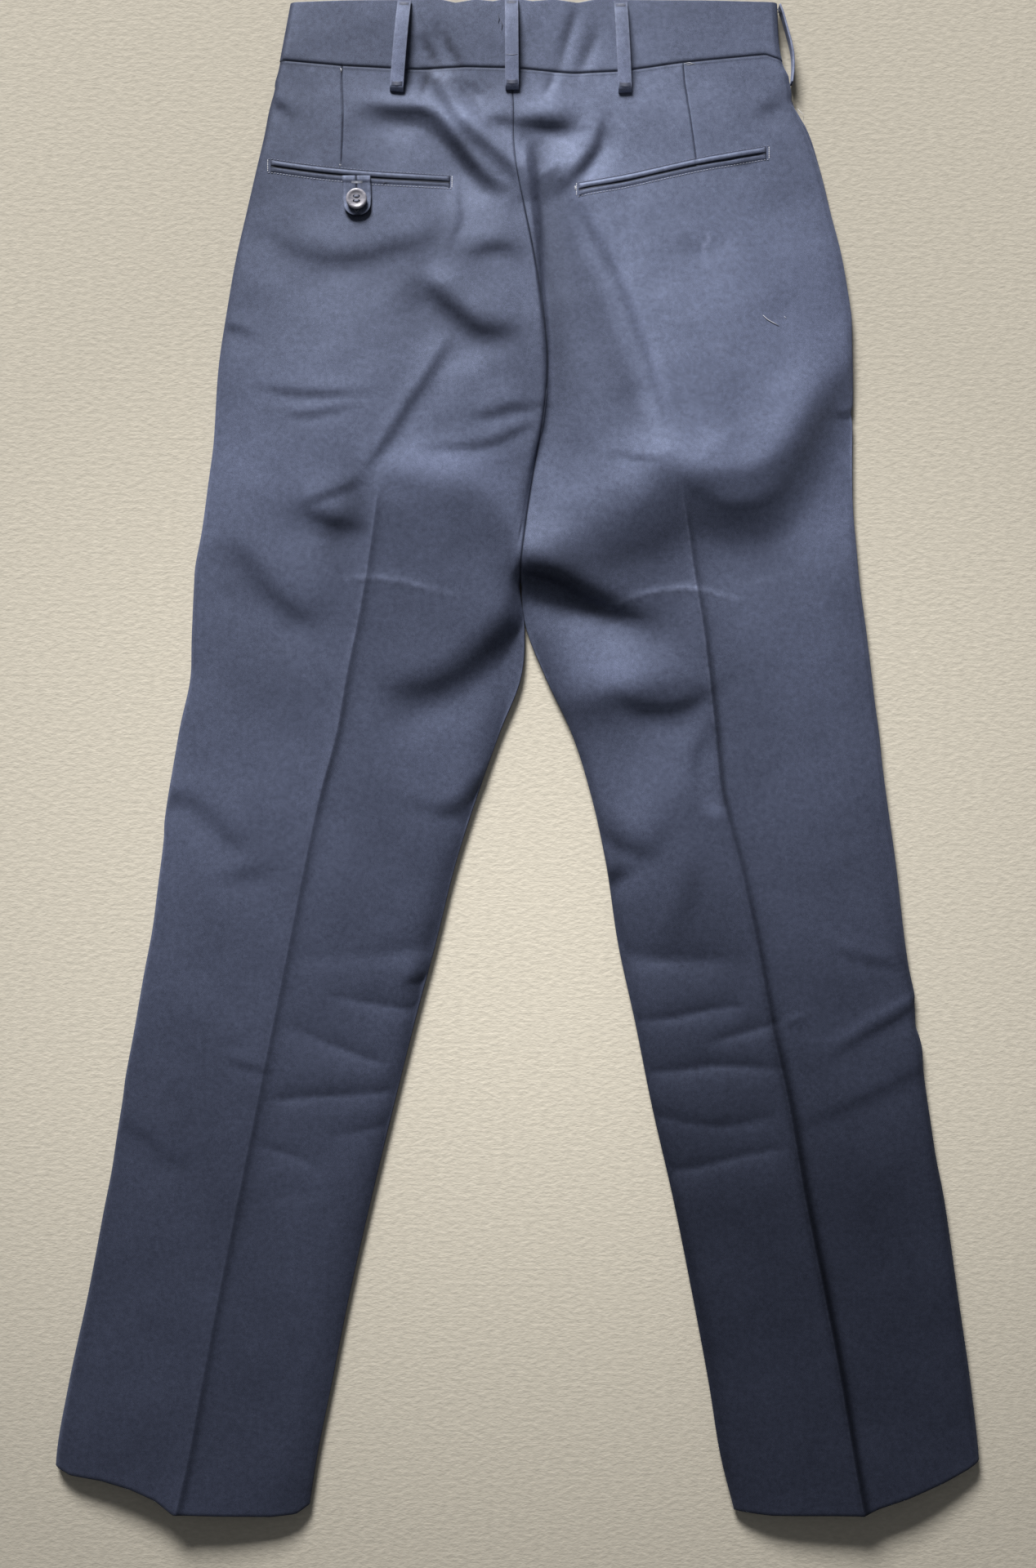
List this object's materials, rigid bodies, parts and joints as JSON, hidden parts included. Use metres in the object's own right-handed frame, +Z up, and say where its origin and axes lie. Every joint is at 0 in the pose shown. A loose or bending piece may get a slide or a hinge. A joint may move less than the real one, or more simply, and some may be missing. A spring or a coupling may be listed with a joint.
{
  "type": "air force dress uniform trousers",
  "caption": "Navy serge dress trousers laid flat with the back up: pressed creases, welt back pockets, a buttoned tab, and belt loops on a gathered waistband.",
  "frame": {"origin": "the middle of the box round the trousers, on the surface they lie on", "axes": "+Z up out of the surface, +Y along the trousers towards the waist, +X towards the wearer's right"},
  "size_m": [0.6873, 1.124, 0.0313],
  "materials": {
    "serge": "navy wool and polyester serge, matt with a faint twill",
    "band": "the same serge over a firm interlining",
    "strap": "the same serge, folded and pressed, a little worn",
    "button": "dark navy polyester button, half gloss"
  },
  "bodies": {
    "root": {"back_left": "serge", "back_right": "serge", "front_left": "serge", "front_right": "serge", "waistband_back_left": "band", "waistband_back_right": "band", "waistband_front_left": "band", "waistband_front_right": "band", "belt_loop_back_left": "strap", "belt_loop_centre": "strap", "belt_loop_back_right": "strap", "belt_loop_side_right": "strap", "belt_loop_side_left": "strap", "belt_loop_front_left": "strap", "belt_loop_front_right": "strap", "pocket_left_welt_upper": "strap", "pocket_left_welt_lower": "strap", "pocket_right_welt_upper": "strap", "pocket_right_welt_lower": "strap", "pocket_left_tab": "strap", "pocket_left_button": "button", "side_pocket_edge_right": "serge", "fly_underlap": "serge"}
  },
  "joints": []
}
